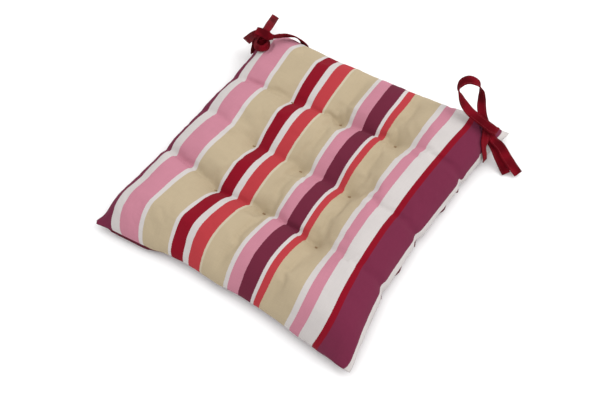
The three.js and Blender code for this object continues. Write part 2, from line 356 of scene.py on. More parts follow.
def pad_mesh(n):
    """Vertices and faces of the closed pad on an n by n grid for each panel, the top panel's faces first, with the
    grid indices of the top and underside vertices and the mask of the underside's inner points."""
    u, v = grid(n)
    top, under = top_surface(u, v), underside_surface(u, v)
    m = n + 1
    index_top = np.arange(m * m).reshape(m, m)
    inner = np.zeros((m, m), bool)
    inner[1:-1, 1:-1] = True
    index_under = index_top.copy()
    index_under[inner] = m * m + np.arange(inner.sum())
    verts = np.concatenate([top.reshape(-1, 3), under[inner]])

    def quads(ix, flip):
        a, b, c, d = ix[:-1, :-1], ix[1:, :-1], ix[1:, 1:], ix[:-1, 1:]
        q = np.stack([a, b, c, d], -1).reshape(-1, 4)
        return q[:, ::-1] if flip else q

    faces = np.concatenate([quads(index_top, False), quads(index_under, True)])
    return verts, faces, index_top, index_under, inner


# ---------------------------------------------------------------- cloth simulation of the top panel
SIM_GRID = 84
SIM_CAP = 6.0
SIM_SHARE = 0.7


def simulate(n):
    """Lets the top panel settle under the pad's own pressure, held at the edge seam and at the tufts, and
    gives how far each grid point moved, in mm."""
    verts, faces, index_top, index_under, inner = pad_mesh(n)
    ob = new_object("pad_simulation", verts, faces)
    held = np.zeros(len(verts))
    held[index_under.ravel()] = 1.0
    top = verts[: (n + 1) ** 2]
    for tx, ty in TUFTS:
        d = np.hypot(top[:, 0] - tx, top[:, 1] - ty)
        held[np.argsort(d)[:4]] = 1.0
        ring = d < 9
        held[: (n + 1) ** 2][ring] = np.maximum(held[: (n + 1) ** 2][ring], 0.25)
    group = ob.vertex_groups.new(name="held")
    for w in np.unique(held):
        if w > 0:
            group.add(np.where(held == w)[0].tolist(), float(w), "REPLACE")
    cloth = ob.modifiers.new("cloth", "CLOTH")
    st = cloth.settings
    st.quality = 5
    st.mass = 0.25
    st.tension_stiffness = st.compression_stiffness = 18.0
    st.shear_stiffness = 7.0
    st.bending_stiffness = 0.08
    st.tension_damping = st.compression_damping = 8.0
    st.use_pressure = True
    st.uniform_pressure_force = 2.5
    st.vertex_group_mass = "held"
    st.pin_stiffness = 2.0
    st.shrink_min = -0.035
    st.effector_weights.gravity = 0.0
    cloth.collision_settings.use_collision = False
    cloth.collision_settings.use_self_collision = False
    for f in range(1, 21):
        scene.frame_set(f)
    bpy.context.view_layer.update()
    got = ob.evaluated_get(bpy.context.evaluated_depsgraph_get())
    co = np.empty(len(verts) * 3)
    got.data.vertices.foreach_get("co", co)
    co = co.reshape(-1, 3) / MM
    scene.frame_set(1)
    me = ob.data
    bpy.data.objects.remove(ob)
    bpy.data.meshes.remove(me)
    move = (co - verts)[: (n + 1) ** 2]
    length = np.linalg.norm(move, axis=1, keepdims=True)
    move *= np.minimum(1, SIM_CAP / np.maximum(length, 1e-9))
    return move.reshape(n + 1, n + 1, 3)


def resample(field, n):
    """Cubic resampling of a field on one grid to an n by n grid of the same panel."""
    def along(a, axis):
        a = np.moveaxis(a, axis, 0)
        m = a.shape[0] - 1
        p = np.arange(n + 1) / n * m
        i = np.minimum(m - 1, np.floor(p).astype(int))
        f = (p - i).reshape([-1] + [1] * (a.ndim - 1))
        g = lambda k: a[np.clip(i + k, 0, m)]
        p0, p1, p2, p3 = g(-1), g(0), g(1), g(2)
        out = p1 + 0.5 * f * (p2 - p0 + f * (2 * p0 - 5 * p1 + 4 * p2 - p3 + f * (3 * (p1 - p2) + p3 - p0)))
        return np.moveaxis(out, 0, axis)
    return along(along(field, 0), 1)


# ---------------------------------------------------------------- seeded smooth noise for the folds
def lattice(seed, n):
    return np.random.RandomState(seed).uniform(-1, 1, (n, n))


def soft_noise(x, y, size, seed):
    table = lattice(seed, 64)
    p, q = x / size + 100, y / size + 100
    i, j = np.floor(p).astype(int), np.floor(q).astype(int)
    f, g = p - i, q - j
    f, g = f * f * (3 - 2 * f), g * g * (3 - 2 * g)
    at = lambda a, b: table[(i + a) % 64, (j + b) % 64]
    return (at(0, 0) * (1 - f) + at(1, 0) * f) * (1 - g) + (at(0, 1) * (1 - f) + at(1, 1) * f) * g


# creases of the photographed cloth: from x, y, to x, y, depth, half width
CREASES = (
    (-164.6, -71.0, -125.5, -77.0, 1.6, 2.2),
    (-148.7, 88.0, -122.0, 92.5, 1.3, 2.2),
    (81.5, -80.0, 83.0, -36.0, 1.2, 5.0),
    (84.0, 120.0, 86.0, 150.0, 0.8, 5.0),
    (-79.0, 96.0, -78.0, 124.0, 0.8, 4.0),
)


def crease_depth(x, y):
    total = np.zeros_like(x)
    for x0, y0, x1, y1, depth, wide in CREASES:
        dx, dy = x1 - x0, y1 - y0
        k = np.clip(((x - x0) * dx + (y - y0) * dy) / (dx * dx + dy * dy), 0, 1)
        d = np.hypot(x - x0 - k * dx, y - y0 - k * dy)
        total += depth * np.exp(-((d / wide) ** 2)) * np.sin(math.pi * np.clip(k, 0.08, 0.92)) ** 0.5
    return total


def fine_folds(x, y, s, to_side, to_end):
    """Small relief along the surface normal, in mm."""
    edge = np.minimum(to_side, to_end)
    # puckers that run in from the sewn edge
    run = np.where(to_side < to_end, y, x)
    beat = soft_noise(run, np.where(to_side < to_end, x, y) * 0.15, 11.0, 3) + 0.6 * soft_noise(run, run * 0, 5.5, 4)
    pucker = 0.85 * beat * np.exp(-edge / 11.0) * (1 - np.exp(-(edge / 3.0) ** 2))
    # gathers that radiate from each tuft
    gather = np.zeros_like(x)
    for i, (tx, ty) in enumerate(TUFTS):
        d = np.hypot(x - tx, y - ty)
        ang = np.arctan2(y - ty, x - tx)
        k = 5 + i % 3
        wave = np.cos(k * ang + 1.7 * i) + 0.5 * np.cos((k + 4) * ang + 0.7 * i)
        gather += 0.55 * wave * (d / 9.0) * np.exp(-d / 9.0)
    # slow unevenness of the filling and slight rucks across the cloth
    filling = 0.9 * soft_noise(x, y, 38.0, 7) + 0.35 * soft_noise(x, y, 15.0, 8)
    fade = 1 - np.exp(-(edge / 14.0) ** 2)
    return pucker + gather + filling * fade - crease_depth(x, y)


PAD_GRID = 172


def press_in(top, nrm):
    """The straps lie on the filling at the rear corners and press it in: no part of the cover comes closer
    to a strap's middle than 1.4 mm."""
    points = []
    for rows in STRAPS.values():
        C, T, A, N, H = frames(rows, 2.2)
        for k in (-1.0, -0.66, -0.33, 0.0, 0.33, 0.66, 1.0):
            points.append(C + A * (k * H)[:, None])
    points = np.concatenate(points)
    for sign in (-1, 1):
        near = (top[..., 0] * sign > 100) & (top[..., 1] > 90)
        near[[0, -1]] = False
        near[:, [0, -1]] = False
        at = points[points[:, 0] * sign > 95]
        for _ in range(2):
            P, n = top[near], nrm[near]
            gap = at[None] - P[:, None]
            high = (gap * n[:, None]).sum(-1)
            aside = np.linalg.norm(gap - high[..., None] * n[:, None], axis=-1)
            share = np.clip((7.5 - aside) / 5.0, 0, 1)
            share = share * share * (3 - 2 * share)
            push = np.where(high > -13, np.maximum(0, 1.4 - high) * share, 0).max(1)
            top[near] = P - n * push[:, None]


def build_pad():
    n = PAD_GRID
    verts, faces, index_top, index_under, inner = pad_mesh(n)
    u, v = grid(n)
    top = top_surface(u, v)
    _, _, _, _, a, b = plan(u, v)
    hold = 1 - np.exp(-((np.minimum(a, b) / 20.0) ** 2))
    top = top + SIM_SHARE * hold[..., None] * resample(simulate(SIM_GRID), n)
    x, y, s, t, a, b = plan(u, v)
    # normals of the top panel
    du = np.gradient(top, axis=0)
    dv = np.gradient(top, axis=1)
    nrm = np.cross(du, dv)
    nrm /= np.maximum(np.linalg.norm(nrm, axis=-1, keepdims=True), 1e-9)
    flat = top + nrm * fine_folds(x, y, s, a, b)[..., None]
    top[1:-1, 1:-1] = flat[1:-1, 1:-1]
    press_in(top, nrm)
    # the seam wanders a little where the filling pushes between stitches
    wander = 0.5 * soft_noise(y, x * 0, 13.0, 11) + 0.3 * soft_noise(y, x * 0, 6.0, 12)
    for i in (0, n):
        top[i, 1:-1, 0] += wander[i, 1:-1]
        top[i, 1:-1, 2] += 0.6 * soft_noise(y[i, 1:-1], y[i, 1:-1] * 0 + i, 16.0, 13)
    for j in (0, n):
        top[1:-1, j, 1] += 0.5 * soft_noise(x[1:-1, j], x[1:-1, j] * 0 + j, 13.0, 14)
        top[1:-1, j, 2] += 0.6 * soft_noise(x[1:-1, j], x[1:-1, j] * 0 + j, 16.0, 15)
    m = n + 1
    verts[: m * m] = top.reshape(-1, 3)
    # underside: shallow dimples under the tufts and puckers at the seam, flat where it rests
    under = underside_surface(u, v)
    lift = np.zeros_like(u)
    for tx, ty in TUFTS:
        lift += 3.2 * cusp(np.hypot(x - tx, y - ty), 8.0, 1.5)
    lift = np.maximum(0, lift - 0.15)
    edge = np.minimum(a, b)
    run = np.where(a < b, y, x)
    ripple = 0.7 * soft_noise(run, run * 0 + 3, 12.0, 21) * np.exp(-edge / 9.0) * (1 - np.exp(-(edge / 3.0) ** 2))
    under[..., 2] = np.maximum(0, under[..., 2] + lift + ripple)
    verts[m * m:] = under[inner]
    ob = new_object("cushion_cover", verts, faces)
    # cloth coordinates in mm: x across the stripes, y along them; the underside is the same cloth turned over
    across = cloth_coordinate(x, y).ravel()
    along = y.ravel()
    full = np.zeros((len(verts), 2))
    uv_top = np.stack([across, along], -1)
    uv_under = np.stack([-across, along + 620.0], -1)
    uv = np.empty((len(faces), 4, 2))
    half = n * n
    uv[:half] = uv_top[faces[:half]]
    lookup = np.zeros(len(verts), int)
    lookup[index_under.ravel()] = np.arange(m * m)
    uv[half:] = uv_under[lookup[faces[half:]]]
    layer = ob.data.uv_layers.new(name="cloth")
    layer.uv.foreach_set("vector", (uv * 0.001).astype(np.float32).ravel())
    return ob


# ---------------------------------------------------------------- striped cotton
# name of the stripe, where it ends (mm across the cloth, the first starts at -200)
STRIPES = (
    ("plum", -170.5), ("white", -156.0), ("pink", -125.4), ("white", -120.2), ("beige", -81.9),
    ("white", -77.8), ("crimson", -58.2), ("white", -49.5), ("coral", -30.8), ("cream", -28.0),
    ("beige", 8.5), ("white", 14.8), ("pink", 32.4), ("grape", 52.9), ("white", 56.5), ("coral", 65.8),
    ("beige", 106.3), ("white", 114.3), ("pink", 129.4), ("white", 150.0), ("crimson", 157.8),
    ("plum", 194.6), ("white", 200.0),
)
DYE = {
    "plum": (108, 38, 63), "grape": (101, 34, 54), "white": (194, 188, 186), "pink": (185, 123, 139), "beige": (175, 159, 132),
    "crimson": (128, 9, 30), "coral": (171, 55, 61), "cream": (186, 175, 153), "maroon": (85, 23, 38),
}


def cotton_cloth(name, plain=None):
    """Plain-woven cotton, striped across, or in one dye where plain names it."""
    m, nt, bsdf = material(name)
    uv = node(nt, "ShaderNodeUVMap", uv_map="cloth")
    split = node(nt, "ShaderNodeSeparateXYZ")
    nt.links.new(uv.outputs[0], split.inputs[0])
    across, along = split.outputs[0], split.outputs[1]
    place = node(nt, "ShaderNodeTexCoord").outputs["Object"]
    # yarns wander by a fraction of a millimetre at a stripe's edge
    fray = noise(nt, uv.outputs[0], 900.0, 1.0)
    edge = math_node(nt, "MULTIPLY_ADD", math_node(nt, "SUBTRACT", fray, 0.5), 0.0011, across)
    where = map_range(nt, edge, -0.2, 0.2, 0.0, 1.0)
    ramp = node(nt, "ShaderNodeValToRGB")
    ramp.color_ramp.interpolation = "CONSTANT"
    e = ramp.color_ramp.elements
    start = -200.0
    for i, (name, end) in enumerate(STRIPES):
        at = (start + 200.0) / 400.0
        el = e[0] if i == 0 else (e[1] if i == 1 else e.new(at))
        el.position = at
        el.color = (*linear(DYE[name]), 1)
        start = end
    nt.links.new(where, ramp.inputs[0])
    colour = ramp.outputs["Color"]
    if plain:
        colour = mix_colour(nt, noise(nt, uv.outputs[0], 14.0, 2.0), (*linear([c * 0.96 for c in DYE[plain]]), 1), (*linear([c * 1.04 for c in DYE[plain]]), 1))
    # plain weave: warp along the stripes, weft across, 0.75 mm a pair
    pitch = 2 * math.pi / 0.00075
    warp = math_node(nt, "SINE", math_node(nt, "MULTIPLY", across, pitch))
    weft = math_node(nt, "SINE", math_node(nt, "MULTIPLY", along, pitch))
    weave = math_node(nt, "MULTIPLY", warp, weft)
    # slubs: uneven yarns, long along the warp and long along the weft
    stretch_a = node(nt, "ShaderNodeMapping")
    stretch_a.inputs["Scale"].default_value = (1400.0, 60.0, 1.0)
    nt.links.new(uv.outputs[0], stretch_a.inputs[0])
    slub_a = noise(nt, stretch_a.outputs[0], 1.0, 2.0)
    stretch_b = node(nt, "ShaderNodeMapping")
    stretch_b.inputs["Scale"].default_value = (50.0, 1400.0, 1.0)
    nt.links.new(uv.outputs[0], stretch_b.inputs[0])
    slub_b = noise(nt, stretch_b.outputs[0], 1.0, 2.0)
    slub = math_node(nt, "ADD", slub_a, slub_b)
    tone = map_range(nt, slub, 0.6, 1.4, 0.955, 1.045)
    mottle = map_range(nt, noise(nt, place, 26.0, 3.0), 0.3, 0.7, 0.975, 1.02)
    thread = map_range(nt, weave, -1.0, 1.0, 0.94, 1.04)
    tone = math_node(nt, "MULTIPLY", math_node(nt, "MULTIPLY", tone, mottle), thread)
    grey = node(nt, "ShaderNodeCombineColor")
    for i in range(3):
        nt.links.new(tone, grey.inputs[i])
    colour = mix_colour(nt, 1.0, colour, grey.outputs[0], "MULTIPLY")
    nt.links.new(colour, bsdf.inputs["Base Color"])
    rough = map_range(nt, slub, 0.6, 1.4, 0.86, 0.97)
    nt.links.new(rough, bsdf.inputs["Roughness"])
    bsdf.inputs["Specular IOR Level"].default_value = 0.08
    bsdf.inputs["Sheen Weight"].default_value = 0.02
    bsdf.inputs["Sheen Roughness"].default_value = 0.6
    height = math_node(nt, "ADD", math_node(nt, "MULTIPLY", weave, 0.5), math_node(nt, "MULTIPLY", slub, 0.9))
    b1 = node(nt, "ShaderNodeBump")
    b1.inputs["Strength"].default_value = 0.35
    b1.inputs["Distance"].default_value = 0.00022
    nt.links.new(height, b1.inputs["Height"])
    rumple = noise(nt, place, 95.0, 3.0, 0.55)
    b2 = node(nt, "ShaderNodeBump")
    b2.inputs["Strength"].default_value = 0.35
    b2.inputs["Distance"].default_value = 0.0012
    nt.links.new(rumple, b2.inputs["Height"])
    nt.links.new(b1.outputs[0], b2.inputs["Normal"])
    nt.links.new(b2.outputs[0], bsdf.inputs["Normal"])
    return m


# ---------------------------------------------------------------- straps
STRAP_THICK = 1.6
STRAPS = {
    # at, centre x, y, z, across x, y, z, wide
    "tie_right_side": (
        ("seam", 192.4, 142.0, 12.4, 0.15, 0.99, 0.00, 8),
        ("lip", 193.6, 142.4, 13.2, 0.15, 0.99, 0.05, 8),
        ("out", 192.6, 143.8, 20.4, 0.12, 0.98, 0.02, 8),
        ("rise", 188.4, 147.6, 28.9, 0.28, 0.88, -0.38, 9),
        ("up", 186.1, 152.8, 38.1, 0.61, 0.73, -0.29, 11),
        ("under", 182.8, 161.1, 45.7, 0.82, 0.53, -0.24, 9.5),
        ("under2", 178.0, 168.9, 50.7, 0.90, 0.36, -0.24, 10),
        ("rs0", 170.4, 174.8, 55.7, 0.91, 0.40, -0.10, 11.5),
        ("rs1", 163.4, 183.7, 60.9, 0.90, 0.41, 0.16, 11.8),
        ("rs2", 158.1, 193.6, 64.8, 0.86, -0.03, 0.51, 12.3),
        ("rx", 152.7, 201.7, 69.4, 0.68, -0.54, 0.50, 13),
        ("ra", 145.9, 205.4, 76.2, 0.29, -0.94, 0.16, 13),
        ("top", 135.2, 201.1, 81.1, 0.49, -0.85, -0.21, 13),
        ("la", 128.6, 195.0, 78.7, 0.79, -0.60, 0.09, 13),
        ("lx", 127.7, 187.7, 73.2, 0.55, -0.61, 0.57, 13),
        ("ls2", 134.4, 181.1, 69.9, 0.07, -0.83, 0.56, 13),
        ("ls1", 143.8, 173.0, 67.0, -0.17, -0.97, 0.18, 13),
        ("ls0", 155.2, 166.7, 64.6, -0.18, -0.98, -0.08, 13),
        ("band0", 167.2, 164.4, 61.6, -0.14, -0.93, -0.34, 12),
        ("band1", 178.7, 163.2, 58.1, -0.15, -0.91, -0.38, 12),
        ("band2", 187.7, 163.2, 54.2, -0.20, -0.89, -0.41, 12),
        ("turn1", 194.3, 166.7, 48.0, -0.18, -0.89, -0.42, 10.3),
        ("turn2", 191.5, 175.5, 38.8, 0.05, -0.88, -0.47, 9),
        ("back1", 185.2, 174.8, 38.1, 0.23, -0.79, -0.56, 9),
        ("back2", 181.8, 169.4, 37.2, -0.44, -0.83, -0.33, 9),
        ("exit", 186.6, 163.8, 33.7, -0.75, -0.63, -0.21, 9.5),
        ("tail1", 197.2, 160.7, 23.8, -0.63, -0.73, -0.26, 12),
        ("tail2", 208.7, 154.4, 14.7, -0.66, -0.66, -0.36, 13),
        ("tail3", 218.4, 148.2, 7.3, -0.64, -0.67, -0.38, 12),
        ("end", 224.6, 143.8, 3.8, -0.58, -0.73, -0.36, 11),
    ),
    "tie_right_rear": (
        ("seam", 150.0, 194.4, 12.0, 1.00, 0.08, 0.00, 13),
        ("lip", 150.2, 196.8, 12.6, 1.00, 0.08, 0.03, 13),
        ("out", 152.0, 196.9, 19.3, 0.97, 0.10, 0.22, 13),
        ("rise", 160.0, 194.3, 32.6, 0.72, 0.31, 0.62, 12),
        ("in1", 168.7, 177.7, 48.0, 0.50, 0.76, -0.42, 10),
        ("in2", 178.3, 173.4, 45.1, 0.49, 0.85, 0.19, 9),
        ("mid", 184.8, 166.7, 41.5, 0.54, 0.83, 0.16, 8.2),
        ("exit", 193.3, 162.5, 35.4, 0.50, 0.85, 0.19, 10.4),
        ("tail1", 205.0, 163.2, 25.4, 0.41, 0.90, 0.14, 13),
        ("tail2", 216.8, 156.3, 20.6, 0.43, 0.89, 0.12, 13.5),
        ("tail3", 227.4, 154.0, 11.1, 0.44, 0.90, 0.00, 13.5),
        ("end", 238.7, 150.0, 5.4, 0.16, 0.97, 0.17, 12.5),
    ),
    "tie_left_side": (
        ("seam", -194.8, 153.4, 12.0, -0.18, 0.98, 0.00, 11),
        ("lip", -196.7, 154.0, 12.8, -0.14, 0.99, 0.05, 11),
        ("out", -196.6, 155.4, 18.8, 0.00, 0.99, 0.15, 11),
        ("rise", -194.6, 158.2, 26.6, 0.16, 0.98, 0.10, 11.5),
        ("in", -192.6, 160.6, 31.6, 0.50, 0.80, -0.33, 11),
        ("knot", -186.7, 166.7, 33.7, 0.69, -0.06, -0.72, 9),
        ("lr0", -175.5, 165.9, 42.9, 0.40, -0.11, -0.91, 10),
        ("lr1", -165.1, 158.7, 46.2, 0.29, -0.06, -0.96, 12),
        ("lr2", -159.8, 148.0, 46.9, 0.27, -0.21, -0.94, 11.4),
        ("lb", -163.5, 140.0, 47.2, 0.19, -0.44, -0.88, 9.4),
        ("ll2", -173.5, 140.5, 45.3, -0.07, -0.44, -0.89, 11.2),
        ("ll1", -181.2, 147.4, 43.2, -0.35, -0.45, -0.82, 12.2),
        ("ll0", -185.0, 156.6, 43.3, -0.61, -0.57, -0.55, 9.5),
        ("under", -186.3, 163.1, 44.1, -0.99, -0.11, 0.03, 9),
        ("mid", -185.3, 169.8, 43.7, -0.86, 0.28, 0.42, 9.5),
        ("back", -184.0, 177.9, 42.3, -0.92, 0.05, 0.39, 11.5),
        ("t1", -189.4, 192.6, 36.7, -0.92, -0.05, 0.40, 12.5),
        ("t2", -199.4, 212.5, 25.3, -0.92, -0.05, 0.40, 12.3),
        ("end", -208.2, 230.3, 15.3, -0.92, -0.05, 0.40, 12),
    ),
    "tie_left_rear": (
        ("seam", -127.4, 192.5, 12.0, 1.00, -0.07, 0.00, 13),
        ("lip", -127.6, 194.9, 12.8, 1.00, -0.06, 0.05, 13),
        ("out", -129.1, 196.6, 18.7, 0.97, 0.05, 0.25, 13),
        ("arch0", -131.8, 194.0, 30.0, 0.81, -0.30, 0.50, 13),
        ("arch1", -139.3, 189.8, 38.3, 0.39, -0.52, 0.76, 13),
        ("arch2", -149.1, 181.4, 43.9, 0.33, -0.31, 0.88, 13),
        ("arch3", -154.7, 170.2, 50.2, 0.32, -0.26, 0.90, 13),
        ("k0", -159.0, 160.6, 56.2, 0.31, -0.19, 0.93, 10.5),
        ("k1", -166.8, 157.5, 61.3, -0.10, 0.65, 0.75, 9.5),
        ("k2", -175.4, 154.9, 61.0, -0.29, 0.72, 0.62, 9.5),
        ("t1", -181.6, 150.8, 58.6, -0.73, 0.41, 0.55, 10.5),
        ("t2", -195.8, 154.5, 41.8, -0.84, 0.21, 0.50, 12.5),
        ("end", -214.7, 162.9, 18.5, -0.91, 0.01, 0.42, 13.2),
    ),
}

# the turn of tape round the front of the left knot
WRAP = (
    ("w1", -180.0, 152.4, 64.5, -0.11, -0.91, -0.40, 12),
    ("w2", -174.8, 152.2, 66.0, -0.11, -0.91, -0.40, 12),
    ("w3", -167.9, 152.9, 65.1, -0.11, -0.91, -0.40, 12),
    ("w4", -161.4, 153.3, 62.8, -0.11, -0.91, -0.40, 12),
    ("w5", -157.3, 154.4, 59.6, -0.11, -0.91, -0.40, 12),
    ("w6", -156.5, 152.7, 57.1, -0.11, -0.91, -0.40, 9.6),
)

# the fold of tape inside the loop of the left knot
CORE = (
    ("c0", -180.6, 151.0, 41.0, 0.09, -0.46, -0.88, 9.5),
    ("c1", -176.3, 151.6, 41.5, 0.17, -0.41, -0.90, 10),
    ("c2", -171.9, 153.8, 42.9, 0.25, -0.35, -0.90, 10),
    ("c3", -170.0, 156.6, 43.4, 0.30, -0.28, -0.91, 9.5),
    ("c4", -167.8, 158.8, 43.9, 0.32, -0.26, -0.91, 9),
)


def frames(rows, step):
    """Centres, directions along and across, normals and half widths of a strap, every step mm or less."""
    P = [np.array(r[1:4], float) for r in rows]
    W = [np.array(r[4:7], float) for r in rows]
    W = [w / np.linalg.norm(w) for w in W]
    wide = [float(r[7]) for r in rows]
    n = len(P)
    P = [2 * P[0] - P[1]] + P + [2 * P[-1] - P[-2]]
    W = [W[0]] + W + [W[-1]]
    C, T, A, H = [], [], [], []
    for i in range(n - 1):
        p0, p1, p2, p3 = P[i:i + 4]
        d0, d1, d2 = (max(1e-4, float(np.linalg.norm(b - a)) ** 0.5) for a, b in ((p0, p1), (p1, p2), (p2, p3)))
        t1 = ((p1 - p0) / d0 - (p2 - p0) / (d0 + d1) + (p2 - p1) / d1) * d1
        t2 = ((p2 - p1) / d1 - (p3 - p1) / (d1 + d2) + (p3 - p2) / d2) * d1
        w0, w1, w2, w3 = W[i:i + 4]
        s1, s2 = 0.5 * (w2 - w0), 0.5 * (w3 - w1)
        k = max(1, int(math.ceil(np.linalg.norm(p2 - p1) / step)))
        for j in range(k + (1 if i == n - 2 else 0)):
            f = j / k
            C.append(p1 + t1 * f + (-3 * p1 + 3 * p2 - 2 * t1 - t2) * f * f + (2 * p1 - 2 * p2 + t1 + t2) * f ** 3)
            T.append(t1 + 2 * (-3 * p1 + 3 * p2 - 2 * t1 - t2) * f + 3 * (2 * p1 - 2 * p2 + t1 + t2) * f * f)
            A.append(w1 + s1 * f + (-3 * w1 + 3 * w2 - 2 * s1 - s2) * f * f + (2 * w1 - 2 * w2 + s1 + s2) * f ** 3)
            g = f * f * (3 - 2 * f)
            H.append(wide[i] * (1 - g) + wide[i + 1] * g)
    C, T, A, H = map(np.array, (C, T, A, H))
    T /= np.linalg.norm(T, axis=1, keepdims=True)
    A = A - (A * T).sum(1, keepdims=True) * T
    A /= np.linalg.norm(A, axis=1, keepdims=True)
    return C, T, A, np.cross(T, A), H / 2


def section(half, thick):
    """Cross section of the folded tape: flat faces, rounded folded edges, a slight dip inside each stitch line."""
    pts = []
    e = thick / 2
    for k in range(5):
        a = math.pi / 2 - k * math.pi / 4
        pts.append((half - e * 0.9 + e * 0.9 * math.cos(a), e * math.sin(a)))
    inner = [(half - 2.1, -e * 0.80), (half - 3.2, -e), (0.0, -e * 1.02), (-half + 3.2, -e), (-half + 2.1, -e * 0.80)]
    pts += inner
    for k in range(5):
        a = -math.pi / 2 - k * math.pi / 4
        pts.append((-half + e * 0.9 + e * 0.9 * math.cos(a), e * math.sin(a)))
    pts += [(x, -y) for x, y in reversed(inner)]
    return pts


def strap(name, rows, seed):
    C, T, A, N, H = frames(rows, 1.1)
    run = np.concatenate([[0], np.cumsum(np.linalg.norm(np.diff(C, axis=0), axis=1))])
    # the tape is never quite flat: it cups and ripples a little
    rip = 0.16 * soft_noise(run, run * 0 + seed, 7.0, 31 + seed) + 0.10 * soft_noise(run, run * 0, 3.0, 41 + seed)
    verts, faces, uvs = [], [], []
    prof = section(6.5, STRAP_THICK)
    m = len(prof)
    for c, a, nn, h, r, l in zip(C, A, N, H, rip, run):
        for x, y in section(h, STRAP_THICK * 0.94):
            verts.append(c + a * x + nn * (y + r * (1 - (x / h) ** 2)))
    k = len(C)
    girth = np.concatenate([[0], np.cumsum([math.dist(prof[i], prof[(i + 1) % m]) for i in range(m)])])
    for i in range(k - 1):
        for j in range(m):
            j2 = (j + 1) % m
            faces.append((i * m + j, i * m + j2, (i + 1) * m + j2, (i + 1) * m + j))
            uvs += [(girth[j], run[i]), (girth[j + 1], run[i]), (girth[j + 1], run[i + 1]), (girth[j], run[i + 1])]
    # ends: the last section is drawn in a little, then closed
    for end, base in ((0, 0), (1, (k - 1) * m)):
        ring = [base + j for j in range(m)]
        c, a, nn, h = (C[0], A[0], N[0], H[0]) if end == 0 else (C[-1], A[-1], N[-1], H[-1])
        out = -T[0] if end == 0 else T[-1]
        cap = []
        for x, y in section(h, STRAP_THICK * 0.94):
            verts.append(c + a * x * 0.985 + nn * y * 0.55 + out * 0.35)
            cap.append(len(verts) - 1)
        for j in range(m):
            j2 = (j + 1) % m
            q = (ring[j], cap[j], cap[j2], ring[j2]) if end == 0 else (ring[j], ring[j2], cap[j2], cap[j])
            q = (ring[j2], ring[j], cap[j], cap[j2]) if end == 0 else q
            faces.append(q)
            uvs += [(girth[j], 0)] * 4
        # two halves of strips across the cap
        half = m // 2
        order = list(range(m))
        for j in range(1, m // 2):
            p, q2 = order[j], order[(j + 1)]
            o1, o2 = order[(-j) % m], order[(-j - 1) % m]
            if len({p, q2, o1, o2}) == 4:
                f = (cap[p], cap[q2], cap[o2], cap[o1])
            elif len({p, q2, o1, o2}) == 3:
                f = tuple(dict.fromkeys((cap[p], cap[q2], cap[o2], cap[o1])))
            else:
                continue
            faces.append(f if end == 1 else f[::-1])
            uvs += [(0, 0)] * len(f)
        f = (cap[0], cap[1], cap[-1])
        faces.append(f if end == 1 else f[::-1])
        uvs += [(0, 0)] * 3
    ob = new_object(name, verts, faces)
    bm_fix(ob)
    layer = ob.data.uv_layers.new(name="cloth")
    layer.uv.foreach_set("vector", (np.array(uvs, dtype=np.float32) * 0.001).ravel())
    return ob, (C, T, A, N, H, run)


def bm_fix(ob):
    """Turns the faces outwards if the piece came out inside out."""
    me = ob.data
    volume = 0.0
    co = np.empty(len(me.vertices) * 3)
    me.vertices.foreach_get("co", co)
    co = co.reshape(-1, 3)
    for p in me.polygons:
        v = [co[i] for i in p.vertices]
        for i in range(1, len(v) - 1):
            volume += float(np.dot(v[0], np.cross(v[i], v[i + 1])))
    if volume < 0:
        me.flip_normals()


def stitches(name, straps):
    """Edge stitching: a short thread every 3.2 mm along both edges and both faces of each tape."""
    verts, faces = [], []
    for C, T, A, N, H, run in straps:
        total = run[-1]
        at = np.arange(3.0, total - 2.0, 3.2)
        for d in at:
            i = int(np.searchsorted(run, d)) - 1
            i = max(0, min(len(run) - 2, i))
            f = (d - run[i]) / max(1e-9, run[i + 1] - run[i])
            mixv = lambda M: M[i] * (1 - f) + M[i + 1] * f
            c, t, a, nn, h = mixv(C), mixv(T), mixv(A), mixv(N), mixv(H)
            for side in (-1, 1):
                for face in (-1, 1):
                    o = c + a * side * (h - 2.1) + nn * face * (STRAP_THICK / 2 * 0.80 + 0.02)
                    base = len(verts)
                    L, w, tall = 1.15, 0.22, 0.24
                    for s, k in ((-1, 0.35), (-0.6, 1.0), (0.6, 1.0), (1, 0.35)):
                        for q in range(6):
                            g = q * math.pi / 3
                            verts.append(o + t * s * L + a * w * k * math.cos(g) + nn * face * tall * k * math.sin(g))
                    for r in range(3):
                        for q in range(6):
                            q2 = (q + 1) % 6
                            faces.append((base + r * 6 + q, base + r * 6 + q2, base + (r + 1) * 6 + q2, base + (r + 1) * 6 + q))
                    faces.append(tuple(base + q for q in reversed(range(6))))
                    faces.append(tuple(base + 18 + q for q in range(6)))
    return new_object(name, verts, faces)


